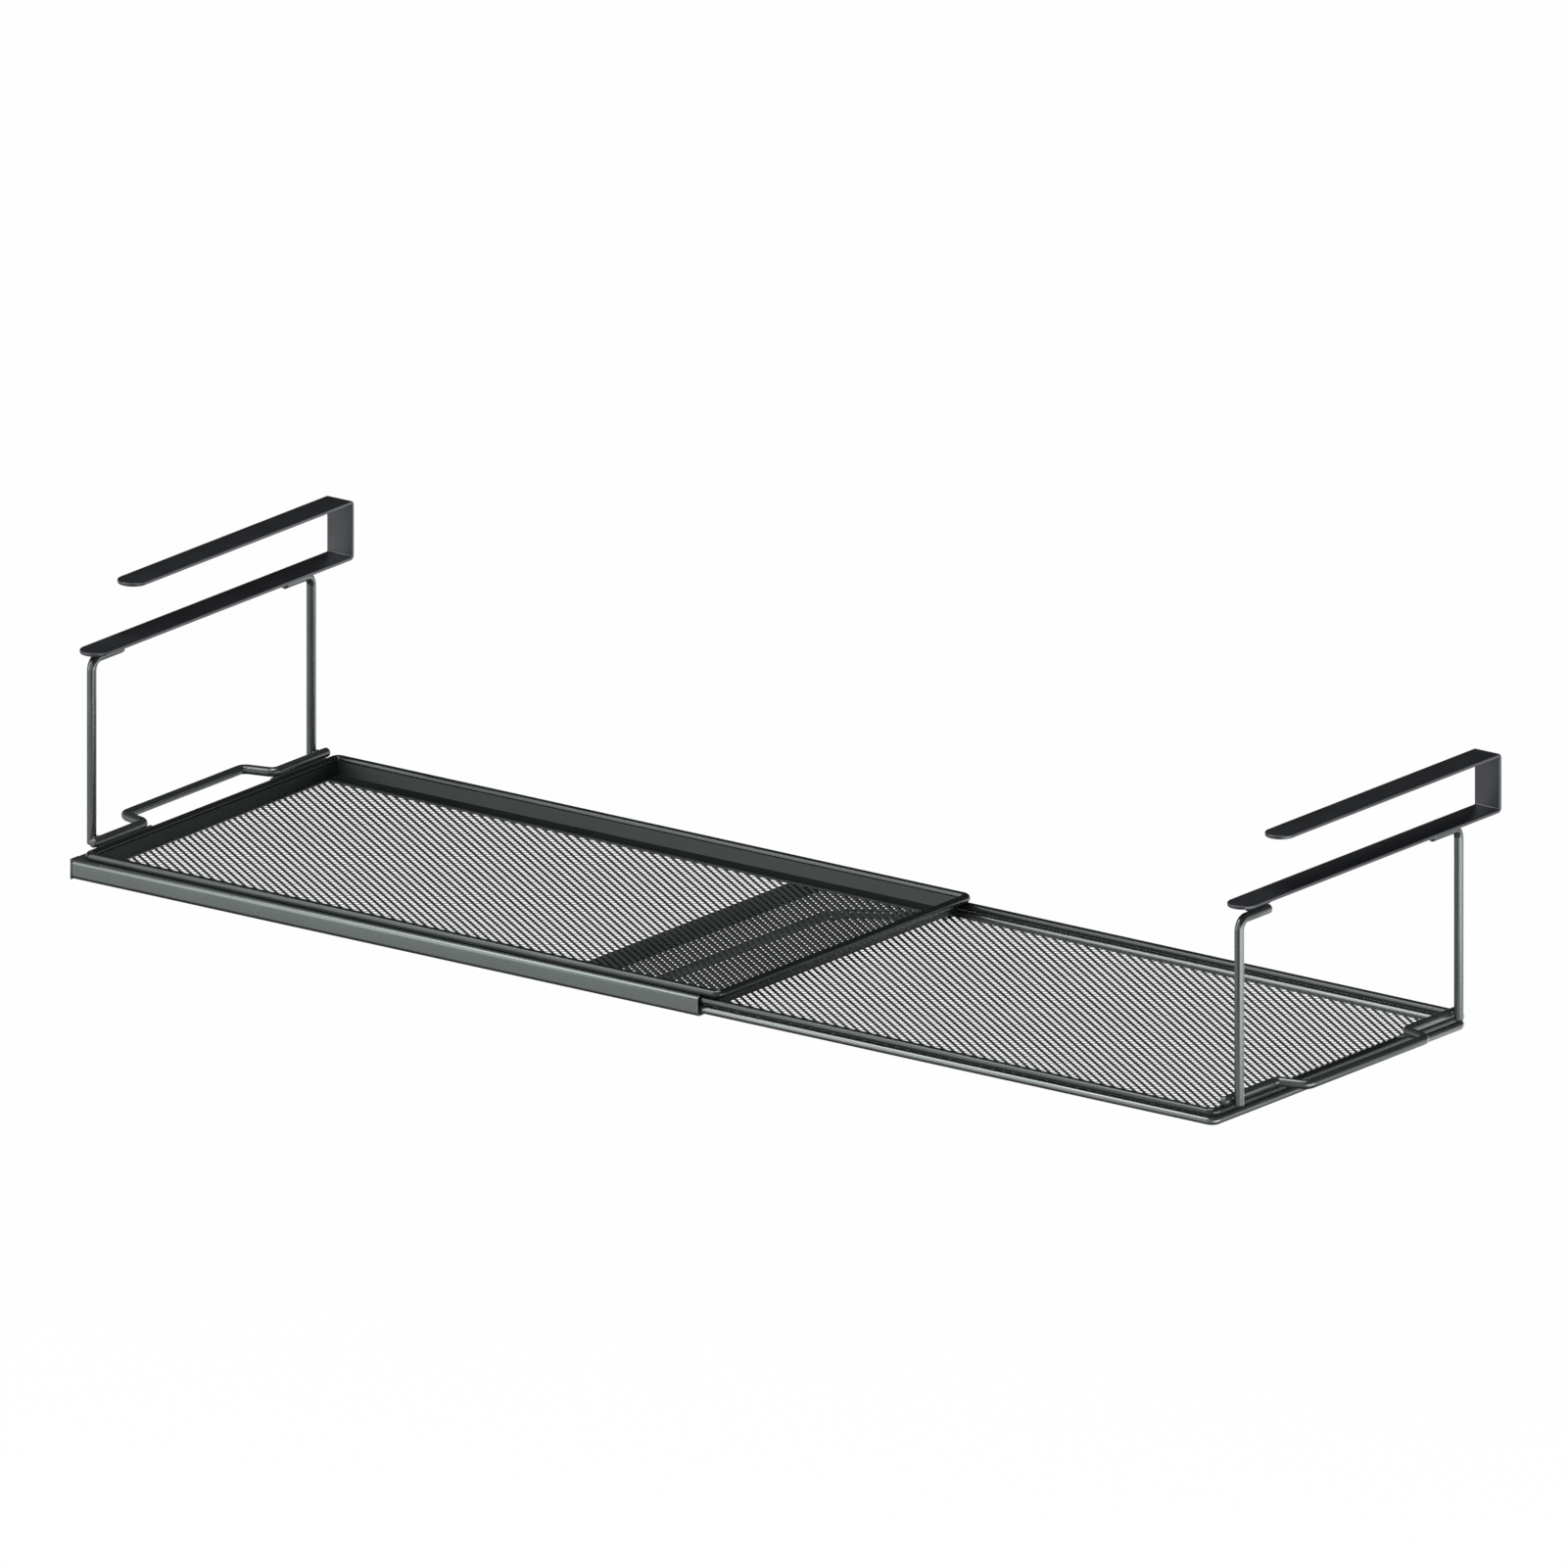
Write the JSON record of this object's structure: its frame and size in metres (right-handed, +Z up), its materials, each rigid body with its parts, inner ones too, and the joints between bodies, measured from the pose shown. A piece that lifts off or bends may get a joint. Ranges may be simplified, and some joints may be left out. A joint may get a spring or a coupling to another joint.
{
  "type": "expandable hanging cabinet shelf",
  "caption": "Expandable mesh shelf that hangs under a cabinet board: a fixed tray with side rails, a tray that slides out of it, and a wire hanger with a flat clip at each end.",
  "frame": {"origin": "underside of the main clip's upper arm, on the clip's middle line, midway between the hanger's two rods", "axes": "+X along the shelf from the main tray towards the sliding tray, +Y from the front to the back, +Z up"},
  "size_m": [0.7613, 0.2295, 0.1499],
  "materials": {
    "main_clip": "fine matt black powder coat",
    "main_rod_front": "satin black powder coat",
    "main_rod_back": "satin black powder coat",
    "main_foot": "satin black powder coat",
    "main_tray_rim": "satin black powder coat",
    "main_tray_pan": "satin black powder coat",
    "main_tray_mesh": "satin black powder coat on expanded mesh",
    "front_rail": "satin black powder coat",
    "back_rail": "satin black powder coat",
    "front_rail_end_plate": "satin black powder coat",
    "back_rail_end_plate": "satin black powder coat",
    "front_rail_stop": "satin black powder coat",
    "back_rail_stop": "satin black powder coat",
    "sliding_clip": "fine matt black powder coat",
    "sliding_rod_front": "satin black powder coat",
    "sliding_rod_back": "satin black powder coat",
    "sliding_tab_spacer": "satin black powder coat",
    "sliding_foot": "satin black powder coat",
    "sliding_tray_upper_wire": "satin black powder coat",
    "sliding_tray_lower_wire": "satin black powder coat",
    "sliding_tray_mesh": "satin black powder coat on expanded mesh",
    "sliding_tray_end_bar": "satin black powder coat",
    "sliding_tray_hoop": "satin black powder coat"
  },
  "bodies": {
    "main_body": {"main_clip": "main_clip", "main_rod_front": "main_rod_front", "main_rod_back": "main_rod_back", "main_foot": "main_foot", "main_tray_rim": "main_tray_rim", "main_tray_pan": "main_tray_pan", "main_tray_mesh": "main_tray_mesh", "front_rail": "front_rail", "back_rail": "back_rail", "front_rail_end_plate": "front_rail_end_plate", "back_rail_end_plate": "back_rail_end_plate", "front_rail_stop": "front_rail_stop", "back_rail_stop": "back_rail_stop"},
    "sliding_body": {"sliding_clip": "sliding_clip", "sliding_rod_front": "sliding_rod_front", "sliding_rod_back": "sliding_rod_back", "sliding_tab_spacer": "sliding_tab_spacer", "sliding_foot": "sliding_foot", "sliding_tray_upper_wire": "sliding_tray_upper_wire", "sliding_tray_lower_wire": "sliding_tray_lower_wire", "sliding_tray_mesh": "sliding_tray_mesh", "sliding_tray_end_bar": "sliding_tray_end_bar", "sliding_tray_hoop": "sliding_tray_hoop"}
  },
  "joints": [
    {"name": "tray_slide", "type": "slide", "parent": "main_body", "child": "sliding_body", "axis": [1, 0, 0], "range_m": [-0.303, 0.0075]}
  ]
}
